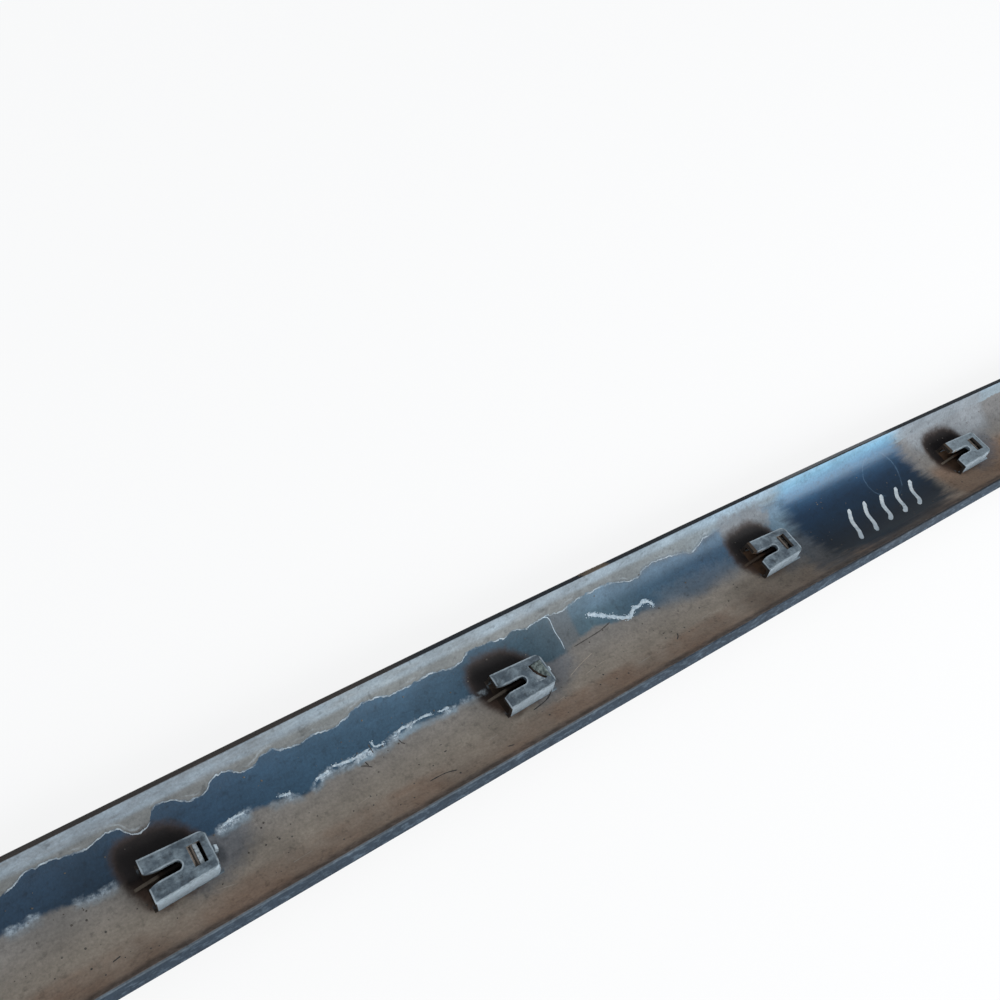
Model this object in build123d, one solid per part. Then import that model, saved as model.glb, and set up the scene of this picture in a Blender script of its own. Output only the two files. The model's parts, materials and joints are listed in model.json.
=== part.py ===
import os
from math import radians, tan

from build123d import *

os.makedirs("parts", exist_ok=True)

# Frame: +X along the strip, +Y towards its top rim, +Z out of its hollow back.
# The origin lies on the flat of the outer face at mid-length. All sizes in mm.

# Strip seen in plan: the towers' pitch and the reach past the last ones give its length
PITCH = 155.0
TOWERS = 7
END_REACH = 55.0
LENGTH = (TOWERS - 1) * PITCH + 2 * END_REACH
HALF_WIDTH_START = 31.3
HALF_WIDTH_MID = 31.5
HALF_WIDTH_END = 26.5
BOW = 5.9
STATIONS = 7

# Strip section
CREST_HEIGHT = 16.5
BEVEL_RUN = 2.8
BEVEL_DROP = 3.0
CREST_LAND = 0.7
FLOOR = 2.5
INNER_RUN = 10.0
BELLY_RISE = 3.5
OUTER_RUN = 13.5
SHOULDER_HEIGHT = 3.0
FLAT_TRIM = 0.6
END_WALL = 2.5

# Clip towers, sized at their plates' top; the walls lean out towards the floor
MOUTH = 13.5
CLOSED = 11.6
MOUTH_WIDTH = 17.6
CLOSED_WIDTH = 15.2
CORNER = 2.8
PLATE_HEIGHT = 10.0
PLATE = 2.2
WALL = 1.4
DRAFT = 6.0
SINK = 1.2
SLOT_WIDTH = 4.0
SLOT_FLARE = 6.4
FLARE_LENGTH = 5.5

# Catch window in each tower's plate, and the hooked tongue that dips into it
WINDOW_START = 3.4
WINDOW_LENGTH = 5.2
WINDOW_WIDTH = 8.4
WINDOW_SHIFT = 0.4
TONGUE_DIP = 1.1
TONGUE_DROP = 1.7
HOOK_RISE = 0.8
HOOK_LENGTH = 1.3
TONGUE_THICK = 0.9

# Guide rib that rises out of the floor under the slot, and gusset behind the closed end
RIB_TIP = 18.6
RIB_RUN = 5.7
RIB_RISE = 1.1
RIB_END = 3.0
RIB_THICK = 1.2
RIB_SHIFT = 1.3
GUSSET = 2.0
GUSSET_THICK = 1.8
GUSSET_GAP = 1.4


def along(x):
    """Position along the strip as -1 at its start, 0 in the middle and 1 at its end."""
    return 2 * x / LENGTH


def centre_y(x):
    """The strip's gentle bow in plan."""
    return -BOW * along(x) ** 2


def half_width(x):
    """A smooth taper through the three half widths."""
    s = along(x)
    slope = (HALF_WIDTH_END - HALF_WIDTH_START) / 2
    curve = (HALF_WIDTH_END + HALF_WIDTH_START) / 2 - HALF_WIDTH_MID
    return HALF_WIDTH_MID + slope * s + curve * s * s


def outer_section(x):
    """Outer skin closed above the two crests; a trim below and above it leaves true flats."""
    w = half_width(x)
    rim = CREST_HEIGHT - BEVEL_DROP
    crest = w - BEVEL_RUN
    above = CREST_HEIGHT + 1
    with BuildSketch(Plane((x, centre_y(x), 0), x_dir=(0, 1, 0), z_dir=(1, 0, 0))) as section:
        with BuildLine():
            belly = TangentArc((0, -FLAT_TRIM), (w - OUTER_RUN, SHOULDER_HEIGHT), tangent=(1, 0))
            TangentArc(belly @ 1, (w, rim), tangent=belly % 1)
            Line((w, rim), (crest, CREST_HEIGHT))
            Line((crest, CREST_HEIGHT), (crest, above))
            Line((crest, above), (0, above))
            mirror(about=Plane.YZ)
        make_face()
    return section.sketch


def trough_section(x):
    """The hollow between the rims: a wide shallow belly, tighter coves, open above the crests."""
    edge = half_width(x) - BEVEL_RUN - CREST_LAND
    above = CREST_HEIGHT + 2
    with BuildSketch(Plane((x, centre_y(x), 0), x_dir=(0, 1, 0), z_dir=(1, 0, 0))) as section:
        with BuildLine():
            belly = TangentArc((0, FLOOR), (edge - INNER_RUN, FLOOR + BELLY_RISE), tangent=(1, 0))
            TangentArc(belly @ 1, (edge, CREST_HEIGHT), tangent=belly % 1)
            Line((edge, CREST_HEIGHT), (edge, above))
            Line((edge, above), (0, above))
            mirror(about=Plane.YZ)
        make_face()
    return section.sketch


def lofted(section, reach):
    """Loft one section through evenly spaced stations from -reach to reach."""
    step = 2 * reach / (STATIONS - 1)
    return loft([section(-reach + step * i) for i in range(STATIONS)])


def tower_outline(inset=0.0):
    """Plan of the tower at its plate: straight sides that taper to two rounded corners."""
    mouth = MOUTH_WIDTH / 2 - inset
    closed = CLOSED_WIDTH / 2 - inset
    slope = (mouth - closed) / (MOUTH + CLOSED)
    past = MOUTH + 2 * PLATE_HEIGHT
    end = CLOSED - inset
    with BuildSketch() as plan:
        with BuildLine():
            Polyline(
                (-past, -closed - slope * (past + end)),
                (end, -closed),
                (end, closed),
                (-past, closed + slope * (past + end)),
                close=True,
            )
        make_face()
        fillet(plan.vertices().group_by(Axis.X)[-1], max(CORNER - inset, 0.6))
    return plan.sketch


def drafted(inset, low, high):
    """A block between two heights whose sides lean in by the draft angle, to the plate's plan at the top."""
    lean = (PLATE_HEIGHT - low) * tan(radians(DRAFT))
    return extrude(Pos(0, 0, low) * tower_outline(inset - lean), high - low, taper=DRAFT)


def slot_outline():
    """Plan of the clip slot: round closed end at x = 0, curved lead-in at the mouth."""
    half = SLOT_WIDTH / 2
    flare = SLOT_FLARE / 2
    start = -MOUTH + FLARE_LENGTH
    with BuildSketch() as plan:
        with BuildLine():
            Line((start, half), (-half, half))
            ThreePointArc((-half, half), (0, 0), (-half, -half))
            Line((-half, -half), (start, -half))
            TangentArc((start, -half), (-MOUTH, -flare), tangent=(-1, 0))
            Line((-MOUTH, -flare), (-MOUTH - 1, -flare))
            Line((-MOUTH - 1, -flare), (-MOUTH - 1, flare))
            Line((-MOUTH - 1, flare), (-MOUTH, flare))
            TangentArc((start, half), (-MOUTH, flare), tangent=(-1, 0))
        make_face()
    return plan.sketch


def side_profile(*points):
    """A closed outline in the X-Z plane through the points."""
    with BuildSketch(Plane.XZ) as profile:
        with BuildLine():
            Polyline(*points, close=True)
        make_face()
    return profile.sketch


def tower():
    """One clip tower, its slot's closed end above the origin."""
    foot = FLOOR - SINK
    under = PLATE_HEIGHT - PLATE
    body = drafted(0, foot, PLATE_HEIGHT) - drafted(WALL, foot - 1, under)
    body -= extrude(Pos(0, 0, under - 1) * slot_outline(), PLATE + 2)

    # the tongue dips from the plate and its tip turns up into a hook that catches the clip
    window = Pos(WINDOW_START + WINDOW_LENGTH / 2, WINDOW_SHIFT, PLATE_HEIGHT)
    body -= window * Box(WINDOW_LENGTH, WINDOW_WIDTH, 4 * PLATE)
    dip = WINDOW_START + TONGUE_DIP
    low = PLATE_HEIGHT - TONGUE_DROP
    tongue = side_profile(
        (WINDOW_START - TONGUE_THICK, PLATE_HEIGHT),
        (WINDOW_START, PLATE_HEIGHT),
        (dip, low),
        (dip + HOOK_LENGTH / 3, low + HOOK_RISE),
        (dip + HOOK_LENGTH, low + HOOK_RISE),
        (dip + HOOK_LENGTH, low - TONGUE_THICK),
        (dip - TONGUE_THICK / 2, low - TONGUE_THICK),
        (WINDOW_START - TONGUE_THICK, under),
    )
    body += Pos(0, WINDOW_SHIFT, 0) * extrude(tongue, WINDOW_WIDTH / 2 + 0.2, both=True)

    gusset = side_profile(
        (CLOSED - WALL / 2, foot),
        (CLOSED + GUSSET, foot),
        (CLOSED + GUSSET, PLATE_HEIGHT - GUSSET_GAP - GUSSET / 2),
        (CLOSED + GUSSET / 2, PLATE_HEIGHT - GUSSET_GAP),
        (CLOSED - WALL / 2, PLATE_HEIGHT - GUSSET_GAP),
    )
    body += extrude(gusset, GUSSET_THICK / 2, both=True)

    # the mouth is cut square across the plate and both walls
    past = 2 * PLATE_HEIGHT
    body -= Pos(-MOUTH - past / 2, 0, foot) * Box(past, 3 * MOUTH_WIDTH, 3 * PLATE_HEIGHT)

    # the rib rises in front of the mouth and stays low under the plate, clear of the clip's flange
    rib = side_profile(
        (-RIB_TIP, foot),
        (-RIB_TIP, FLOOR),
        (RIB_RUN - RIB_TIP, FLOOR + RIB_RISE),
        (RIB_END, FLOOR + RIB_RISE),
        (RIB_END, foot),
    )
    return body + Pos(0, RIB_SHIFT, 0) * extrude(rib, RIB_THICK / 2, both=True)


strip = lofted(outer_section, LENGTH / 2) - lofted(trough_section, LENGTH / 2 - END_WALL)
slab_width = 3 * (HALF_WIDTH_MID + BOW)
strip &= Pos(0, 0, CREST_HEIGHT / 2) * Box(LENGTH + 2, slab_width, CREST_HEIGHT)

one_tower = tower()
for i in range(TOWERS):
    tower_x = (i - (TOWERS - 1) / 2) * PITCH
    strip += Pos(tower_x, centre_y(tower_x), 0) * one_tower

side_moulding = strip.solid() if len(strip.solids()) == 1 else strip
export_step(side_moulding, "parts/side_moulding.step")
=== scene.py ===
# %% [markdown]
# This is a car body side moulding, seen from its hollow back. The real one is a single piece of
# injection-moulded plastic: a shallow trough with two rims and a row of clip towers on its floor.
# Its shape comes from the CAD frame. The lesson gives it smooth curves, its finest relief, and the
# mud, dust and tide lines that years on a car door have left on it.

# %% Load the frame
import json
import math

import bmesh
import bpy
from mathutils import Matrix, Vector, noise


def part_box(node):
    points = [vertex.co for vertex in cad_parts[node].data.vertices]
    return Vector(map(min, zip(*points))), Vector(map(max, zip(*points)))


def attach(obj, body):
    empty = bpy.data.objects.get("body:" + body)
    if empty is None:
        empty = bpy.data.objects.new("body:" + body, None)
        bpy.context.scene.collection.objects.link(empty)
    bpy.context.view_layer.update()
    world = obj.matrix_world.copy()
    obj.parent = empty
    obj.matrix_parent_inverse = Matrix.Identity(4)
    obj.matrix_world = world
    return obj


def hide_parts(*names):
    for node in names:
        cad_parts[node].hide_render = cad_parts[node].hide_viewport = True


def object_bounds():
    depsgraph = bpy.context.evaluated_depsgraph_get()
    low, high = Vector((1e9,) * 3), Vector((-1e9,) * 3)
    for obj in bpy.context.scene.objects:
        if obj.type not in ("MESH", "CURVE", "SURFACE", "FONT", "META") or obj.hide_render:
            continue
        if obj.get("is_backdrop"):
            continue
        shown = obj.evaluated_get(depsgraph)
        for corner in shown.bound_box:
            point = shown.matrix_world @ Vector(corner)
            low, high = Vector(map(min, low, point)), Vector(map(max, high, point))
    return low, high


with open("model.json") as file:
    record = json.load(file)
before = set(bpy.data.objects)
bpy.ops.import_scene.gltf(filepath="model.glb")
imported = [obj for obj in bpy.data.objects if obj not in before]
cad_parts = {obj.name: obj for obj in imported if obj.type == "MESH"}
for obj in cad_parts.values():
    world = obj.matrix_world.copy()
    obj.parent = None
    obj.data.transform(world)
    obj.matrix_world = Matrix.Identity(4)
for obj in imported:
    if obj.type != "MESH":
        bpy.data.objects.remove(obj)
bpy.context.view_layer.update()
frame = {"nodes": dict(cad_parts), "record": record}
moulding = frame["nodes"]["side_moulding"]
MM = 0.001

# %% [markdown]
# The strip isn't a plain prism: it tapers towards +X and bows a little in plan. Dirt and relief
# follow it, so they are placed by two lengths, both in millimetres: x along the strip, and q across
# it from its bowed centre line. The towers stand on that line at an even pitch, and what belongs to
# a tower is measured from the closed end of its slot.

# %% The strip's own coordinates
strip_low, strip_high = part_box("side_moulding")
LENGTH = (strip_high.x - strip_low.x) / MM
BOW = 5.9
HALF_WIDTH_START = 31.3
HALF_WIDTH_MID = 31.5
HALF_WIDTH_END = 26.5
SLOPE = (HALF_WIDTH_END - HALF_WIDTH_START) / 2
CURVE = (HALF_WIDTH_END + HALF_WIDTH_START) / 2 - HALF_WIDTH_MID

SLOT_RADIUS = 2.0
slots = [m["pos_m"] for m in frame["record"]["mounts"] if m["name"].startswith("clip_slot")]
TOWERS = sorted(round(place[0] / MM + SLOT_RADIUS, 2) for place in slots)
PITCH = TOWERS[1] - TOWERS[0]


def centre_y(x):
    """The bowed centre line."""
    return -BOW * (2 * x / LENGTH) ** 2


def half_width(x):
    """The taper through the three half widths."""
    share = 2 * x / LENGTH
    return HALF_WIDTH_MID + SLOPE * share + CURVE * share * share


def on_strip(x, q, z):
    """A point given along, across and above the strip, in Blender's metres."""
    return Vector((x, q + centre_y(x), z)) * MM


print(len(TOWERS), "towers at", TOWERS, "mm")

# %% [markdown]
# Seen in section, the hollow is two arcs on each side that meet at the same slope: a wide one for
# the belly and a tight one for the cove under the rim. The same two arcs give the height of the
# floor at any place, so the finest relief can be laid on the true surface.

# %% Height of the hollow
CREST_HEIGHT = 16.5
CREST_INSET = 3.5
FLOOR = 2.5
COVE_RUN = 10.0
BELLY_RISE = 3.5


def trough_height(x, q):
    """Height of the hollow's surface above the outer face."""
    edge = half_width(x) - CREST_INSET
    run = edge - COVE_RUN
    belly = (run * run + BELLY_RISE * BELLY_RISE) / (2 * BELLY_RISE)
    across = min(abs(q), edge)
    if across <= run:
        return FLOOR + belly - math.sqrt(belly * belly - across * across)
    turn = math.asin(run / belly)
    rise = CREST_HEIGHT - FLOOR - BELLY_RISE
    chord = math.hypot(COVE_RUN, rise)
    cove = chord / (2 * math.sin(math.atan2(rise, COVE_RUN) - turn))
    from_centre = across - run + cove * math.sin(turn)
    drop = math.sqrt(max(cove * cove - from_centre * from_centre, 0))
    return FLOOR + BELLY_RISE + cove * math.cos(turn) - drop


print("hollow rises from", FLOOR, "to", round(trough_height(0, half_width(0)), 2), "mm")

# %% [markdown]
# The photograph looks down on the strip from its lower left, with a lens a little longer than a
# phone's. The strip's vanishing points give the camera's turn and its focal length, and the even
# spacing of the towers gives its distance.

# %% Camera
CAMERA_PLACE = (-193.09, -129.22, 406.01)
CAMERA_RIGHT = (0.81425, -0.54874, 0.18944)
CAMERA_UP = (0.34747, 0.72209, 0.59821)
FOCAL_MM = 38.0
SENSOR_MM = 36.0


def placed(name, data):
    """A new object in the scene."""
    thing = bpy.data.objects.new(name, data)
    bpy.context.scene.collection.objects.link(thing)
    return thing


camera_data = bpy.data.cameras.new("camera")
camera_data.lens = FOCAL_MM
camera_data.sensor_width = SENSOR_MM
camera_data.clip_start = 10 * MM
camera = placed("camera", camera_data)
right = Vector(CAMERA_RIGHT).normalized()
up = Vector(CAMERA_UP)
up = (up - right * up.dot(right)).normalized()
turn = Matrix((right, up, right.cross(up))).transposed()
camera.matrix_world = Matrix.Translation(Vector(CAMERA_PLACE) * MM) @ turn.to_4x4()
bpy.context.scene.camera = camera
field = round(math.degrees(camera_data.angle), 1)
print("camera", round(Vector(CAMERA_PLACE).length), "mm away, field", field, "degrees")

# %% [markdown]
# The frame's mesh is made of loose triangles that cut the round coves into flat strips. A subdivision
# surface would round the towers' sharp edges too. So a copy is merged, the hollow's faces alone are
# cut into a fine grid, and each new point is put on the true arcs.

# %% Cut the hollow into a grid
GRID_ALONG = 8.0
GRID_ACROSS = 1.6
ON_TROUGH = 0.3
FACES_UP = 0.3
MERGE = 0.002 * MM
CUT_MERGE = 0.01 * MM


def on_trough(face):
    """Whether a face belongs to the hollow's curved surface."""
    centre = face.calc_center_median() / MM
    q = centre.y - centre_y(centre.x)
    within = abs(q) < half_width(centre.x) - CREST_INSET and abs(centre.x) < LENGTH / 2 - CREST_INSET
    off = abs(centre.z - trough_height(centre.x, q))
    return within and face.normal.z > FACES_UP and off < ON_TROUGH


mesh = bmesh.new()
mesh.from_mesh(moulding.data)
bmesh.ops.remove_doubles(mesh, verts=mesh.verts, dist=MERGE)
mesh.normal_update()

hollow_faces = [face for face in mesh.faces if on_trough(face)]
hollow_edges = {edge for face in hollow_faces for edge in face.edges}
hollow_points = {point for face in hollow_faces for point in face.verts}
parts = [*hollow_faces, *hollow_edges, *hollow_points]
for normal, spacing in ((Vector((0, 1, 0)), GRID_ACROSS), (Vector((1, 0, 0)), GRID_ALONG)):
    low, high = strip_low.dot(normal) / MM, strip_high.dot(normal) / MM
    for i in range(1, int((high - low) / spacing)):
        place = normal * (low + i * spacing) * MM
        cut = bmesh.ops.bisect_plane(mesh, geom=parts, plane_co=place, plane_no=normal, dist=CUT_MERGE)
        parts = cut["geom"]

floor_points = {v for part in parts if isinstance(part, bmesh.types.BMFace) for v in part.verts}
for point in floor_points:
    x, y = point.co.x / MM, point.co.y / MM
    point.co.z = trough_height(x, y - centre_y(x)) * MM
print(len(floor_points), "points put on the arcs")

# %% [markdown]
# The copy is then shaded smooth, with every edge sharper than 30 degrees kept sharp, so the coves
# shine evenly while the towers' plates keep their crisp corners. It takes the CAD node's place.

# %% Smooth shell
SHARP_DEGREES = 30.0


def riding(name, data):
    """A piece made of mesh data that rides on the moulding."""
    piece = placed(name, data)
    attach(piece, "root")
    print(name, len(data.polygons), "faces")
    return piece


def mesh_data(name, mesh):
    """Mesh data from a bmesh, which it frees."""
    data = bpy.data.meshes.new(name)
    mesh.to_mesh(data)
    mesh.free()
    return data


def finished(name, mesh, *materials):
    """A riding piece made of a bmesh and its materials."""
    data = mesh_data(name, mesh)
    for material in materials:
        data.materials.append(material)
    return riding(name, data)


bmesh.ops.triangulate(mesh, faces=[face for face in mesh.faces if len(face.verts) > 4])
mesh.normal_update()
for face in mesh.faces:
    face.smooth = True
for edge in mesh.edges:
    edge.smooth = edge.calc_face_angle(0) < math.radians(SHARP_DEGREES)
shell = finished("moulding_shell", mesh)
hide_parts("side_moulding")

# %% [markdown]
# Every material and Geometry Nodes tree below is built by one small function that adds a node, sets
# it, links or fills its inputs, and gives back an output to use next. Colours are written as hex,
# as a picture editor shows them, and turned into Blender's linear numbers.


# %% Helpers for nodes
def linear(hex_colour):
    """An sRGB hex colour as Blender's linear numbers."""
    parts = [int(hex_colour[i : i + 2], 16) / 255 for i in (1, 3, 5)]
    return tuple(c / 12.92 if c <= 0.04045 else ((c + 0.055) / 1.055) ** 2.4 for c in parts) + (1.0,)


def add(tree, kind, *values, output=0, named=None, **settings):
    """Adds one node with its settings, fills or links its inputs by place or name, and gives one output."""
    node = tree.nodes.new(kind)
    for key, value in settings.items():
        setattr(node, key, value)
    for place, value in [*enumerate(values), *(named or {}).items()]:
        if isinstance(value, bpy.types.NodeSocket):
            tree.links.new(value, node.inputs[place])
        elif value is not None:
            node.inputs[place].default_value = value
    return node.outputs[output] if node.outputs else node


def product(tree, *masks):
    """All masks multiplied."""
    result = masks[0]
    for mask in masks[1:]:
        result = add(tree, "ShaderNodeMath", result, mask, operation="MULTIPLY")
    return result


# %% [markdown]
# Dirt has soft and ragged borders, and each kind lies where water, wind and the clips left it. A painted
# image would tie the material to one mesh, so every patch is worked out from the strip's own coordinates
# instead: a few outlines and lines given in millimetres, whose edges are made ragged by noise. First, the
# material has to know where on the strip it is.


# %% Coordinates inside a material
def strip_space(tree, wobble_mm, wobble_size):
    """x, q and z in mm, and x and q again with their edges made ragged by noise."""
    place = add(tree, "ShaderNodeVectorMath", None, (1 / MM,) * 3, operation="MULTIPLY")
    tree.links.new(add(tree, "ShaderNodeTexCoord", output="Object"), place.node.inputs[0])
    x = add(tree, "ShaderNodeSeparateXYZ", place)
    y, z = x.node.outputs[1], x.node.outputs[2]
    share = product(tree, x, 2 / LENGTH)
    q = add(tree, "ShaderNodeMath", product(tree, share, share), BOW, y, operation="MULTIPLY_ADD")
    cloud = add(tree, "ShaderNodeTexNoise", place, None, 1 / wobble_size, 6.0, 0.6, output="Color")
    cloud = add(tree, "ShaderNodeVectorMath", cloud, (0.5, 0.5, 0.5), operation="SUBTRACT")
    shift = add(tree, "ShaderNodeVectorMath", cloud, named={"Scale": 2 * wobble_mm}, operation="SCALE")
    shift_x = add(tree, "ShaderNodeSeparateXYZ", shift)
    ragged_x = add(tree, "ShaderNodeMath", x, shift_x, operation="ADD")
    ragged_q = add(tree, "ShaderNodeMath", q, shift_x.node.outputs[1], operation="ADD")
    ragged = {"ragged_x": ragged_x, "ragged_q": ragged_q}
    return {"place": place, "x": x, "q": q, "z": z, "share": share, **ragged}


def speckle(tree, place, size_mm, detail, low, high):
    """Noise of a given size, stretched so that it is 0 below low and 1 above high."""
    cloud = add(tree, "ShaderNodeTexNoise", place, None, 1 / size_mm, detail, 0.6)
    return add(tree, "ShaderNodeMapRange", cloud, low, high)


def uneven(tree, place, size_mm, reach_mm):
    """Noise of a given size that swings to both sides of 0."""
    cloud = speckle(tree, place, size_mm, 6.0, 0.0, 1.0)
    return add(tree, "ShaderNodeMapRange", cloud, 0, 1, -reach_mm, reach_mm)


# %% [markdown]
# A mask is 1 on a patch and 0 off it. Three shapes are enough for all of this dirt: a band between
# two values, the inside of an outline, and a line that runs along the strip.


# %% Masks from coordinates
FAR = 900.0
LINE_RANGE = 80.0


def span(tree, value, low, high, soft):
    """1 between low and high, fading to 0 over the soft distance outside them."""
    rise = add(tree, "ShaderNodeMapRange", value, low - soft, low, interpolation_type="SMOOTHSTEP")
    fall = add(tree, "ShaderNodeMapRange", value, high + soft, high, interpolation_type="SMOOTHSTEP")
    return product(tree, rise, fall)


def inside(tree, x, q, corners, soft, ragged=0.0):
    """1 inside a convex outline whose corners run anticlockwise, fading over a soft and ragged edge."""
    spot = add(tree, "ShaderNodeCombineXYZ", x, q)
    depth = FAR
    for start, end in zip(corners, corners[1:] + corners[:1]):
        side = Vector((start[1] - end[1], end[0] - start[0])).normalized()
        reach = add(tree, "ShaderNodeVectorMath", spot, (*side, 0), operation="DOT_PRODUCT", output="Value")
        reach = add(tree, "ShaderNodeMath", reach, -side.dot(Vector(start)), operation="ADD")
        depth = add(tree, "ShaderNodeMath", reach, depth, soft, operation="SMOOTH_MIN")
    depth = add(tree, "ShaderNodeMath", depth, ragged, operation="ADD")
    return add(tree, "ShaderNodeMapRange", depth, -soft / 2, soft / 2, interpolation_type="SMOOTHSTEP")


def line_along(tree, x, points):
    """The q of a line drawn along the strip through given (x, q) points."""
    first, last = points[0][0], points[-1][0]
    share = add(tree, "ShaderNodeMapRange", x, first, last)
    curve = add(tree, "ShaderNodeFloatCurve", 1.0, share)
    spots = curve.node.mapping.curves[0].points
    for _ in points[2:]:
        spots.new(0.5, 0.5)
    for spot, (along, across) in zip(spots, points):
        spot.location = ((along - first) / (last - first), across / LINE_RANGE + 0.5)
    curve.node.mapping.update()
    return add(tree, "ShaderNodeMapRange", curve, 0, 1, -LINE_RANGE / 2, LINE_RANGE / 2)


# %% [markdown]
# Dirt of different ages lies in layers, so its colours are laid over each other in that order, each
# through its own mask. Slow changes, such as dust that turns bluer along the strip, are a ramp.


# %% Colours from masks
def stack(tree, colour, layers):
    """Lays colours over the first one, each through its mask."""
    for over, mask in layers:
        top = over if isinstance(over, bpy.types.NodeSocket) else linear(over)
        colour = add(tree, "ShaderNodeMix", named={0: mask, 6: colour, 7: top}, output=2, data_type="RGBA")
    return colour


def shades(tree, value, stops):
    """A colour that changes along a value through hex stops."""
    first, last = stops[0][0], stops[-1][0]
    share = add(tree, "ShaderNodeMapRange", value, first, last)
    colour = add(tree, "ShaderNodeValToRGB", share)
    ramp = colour.node.color_ramp
    for at, _ in stops[1:-1]:
        ramp.elements.new((at - first) / (last - first))
    for element, (at, shade) in zip(ramp.elements, stops):
        element.position = (at - first) / (last - first)
        element.color = linear(shade)
    return colour


# %% [markdown]
# Water that ran along the door has left a dark washed band along the hollow, with a whitish tide
# line above it and a salt crust below it. The lines are scalloped, because each drop dried on its
# own. Under the band the floor is covered with brown mud, above it with grey dust.

# %% Lines along the strip
TIDE_LEFT = [(-260, 22), (-222, 20.5), (-210, 21.5), (-200, 24.3), (-190, 23.2), (-183, 22), (-172, 23.6),
             (-162, 19), (-154, 24.2), (-140, 20.6), (-129, 24.3), (-119, 21.3), (-110, 23.6), (-101, 21.4),
             (-90, 21.8), (-80, 20.8), (-68, 23.6), (-52, 21.8), (-40, 22)]
TIDE_RIGHT = [(-40, 22), (-30, 21.8), (-23, 20.3), (-14, 23), (5, 22), (9, 22.8), (15, 21.3), (25, 22),
              (37, 21.3), (46, 22.6), (68, 21.6), (78, 19.2), (86, 21.6), (108, 20.4), (115, 18.8),
              (124, 21.4), (180, 22)]
WASH_LOW = [(-260, 11), (-212, 10.2), (-200, 9.6), (-190, 7.6), (-172, 6), (-150, 6), (-134, 7), (-114, 6.6),
            (-101, 3.4), (-92, 6.3), (-68, 5.6), (-58, 7.2), (-44, 7.2), (-32, 6.2), (-18, 5.4), (4, 6),
            (22, 4.5), (38, 8), (48, 9), (58, 6), (78, 4), (92, 2), (104, -0.5), (118, 0.6), (136, 2.5),
            (190, 2)]
STREAKED = (0.25, 1.0, 1.0)
WIPED_ALONG = (0.14, 1.0, 1.0)


def dirt_space(tree):
    """The strip's coordinates, and each point's distance from the lines, the rim and its tower."""
    s = strip_space(tree, 2.2, 14.0)
    s["stretched"] = add(tree, "ShaderNodeVectorMath", s["place"], STREAKED, operation="MULTIPLY")
    wiping = add(tree, "ShaderNodeVectorMath", s["place"], WIPED_ALONG, operation="MULTIPLY")
    s["brushed"] = uneven(tree, wiping, 2.2, 6.5)
    s["frayed"] = uneven(tree, s["place"], 3.0, 3.5)

    right_half = add(tree, "ShaderNodeMath", s["x"], TIDE_RIGHT[0][0], operation="GREATER_THAN")
    halves = {2: line_along(tree, s["x"], TIDE_LEFT), 3: line_along(tree, s["x"], TIDE_RIGHT)}
    tide = add(tree, "ShaderNodeMix", right_half, named=halves)
    tide = add(tree, "ShaderNodeMath", tide, uneven(tree, s["place"], 4.0, 1.5), operation="ADD")
    s["above"] = add(tree, "ShaderNodeMath", s["q"], tide, operation="SUBTRACT")
    wash_low = line_along(tree, s["x"], WASH_LOW)
    s["over_low"] = add(tree, "ShaderNodeMath", s["ragged_q"], wash_low, operation="SUBTRACT")

    wide = add(tree, "ShaderNodeMath", s["share"], CURVE, SLOPE, operation="MULTIPLY_ADD")
    wide = add(tree, "ShaderNodeMath", s["share"], wide, HALF_WIDTH_MID, operation="MULTIPLY_ADD")
    across = add(tree, "ShaderNodeMath", s["q"], operation="ABSOLUTE")
    s["from_edge"] = add(tree, "ShaderNodeMath", wide, across, operation="SUBTRACT")
    s["u"] = add(tree, "ShaderNodeMath", s["x"], PITCH / 2, -PITCH / 2, operation="WRAP")
    s["ragged_u"] = add(tree, "ShaderNodeMath", s["ragged_x"], PITCH / 2, -PITCH / 2, operation="WRAP")
    return s


print("tide line", len(TIDE_LEFT) + len(TIDE_RIGHT) - 1, "points, washed band", len(WASH_LOW), "points")

# %% [markdown]
# The rims' outer bevels are the cleanest part, since they were wiped with the car. The corner inside the near
# crest is painted darker as painted shade. Whatever faces down is the strip's outer face, which the
# photograph doesn't show; it is finished as plain dark plastic.


# %% Masks of the rims
def rim_masks(tree, s):
    """Both rims, their crests, the shade inside them, and the outer face."""
    bevel = span(tree, s["from_edge"], -9, 3.1, 0.35)
    facing = add(tree, "ShaderNodeSeparateXYZ", add(tree, "ShaderNodeTexCoord", output="Normal"), output=2)
    from_middle = add(tree, "ShaderNodeMath", s["x"], operation="ABSOLUTE")
    at_end = add(tree, "ShaderNodeMath", from_middle, LENGTH / 2 - 0.4, operation="GREATER_THAN")
    below = span(tree, facing, -2, -0.05, 0.04)
    return {
        "far_rim": product(tree, bevel, span(tree, s["q"], 0, FAR, 1.0)),
        "near_rim": product(tree, bevel, span(tree, s["q"], -FAR, 0, 1.0)),
        "crest": span(tree, s["from_edge"], 2.7, 3.2, 0.4),
        "shade": span(tree, s["from_edge"], 3.2, 5.4, 2.6),
        "outside": add(tree, "ShaderNodeMath", below, at_end, operation="MAXIMUM"),
    }


# %% [markdown]
# The tide line is a hair of salt that breaks off in places, with a second, fainter one above it. The
# crust on the band's lower edge is thicker. It came out of the mud as it dried, so it lies in eight
# stretches of different strength, each with a wider bluish haze around it. Towards +X the water never
# stood long enough to leave a line, so there the washed band fades out at both edges.

# %% Masks of the dried water
CRUSTS = [(-213, -204, 0.5), (-190, -179, 0.55), (-137, -126, 1.0), (-116, -105, 0.6), (-98, -74, 1.0),
          (-78, -50, 0.8), (-58, -32, 0.9), (-34, -17, 0.45)]
print(len(CRUSTS), "stretches of crust")


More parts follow.
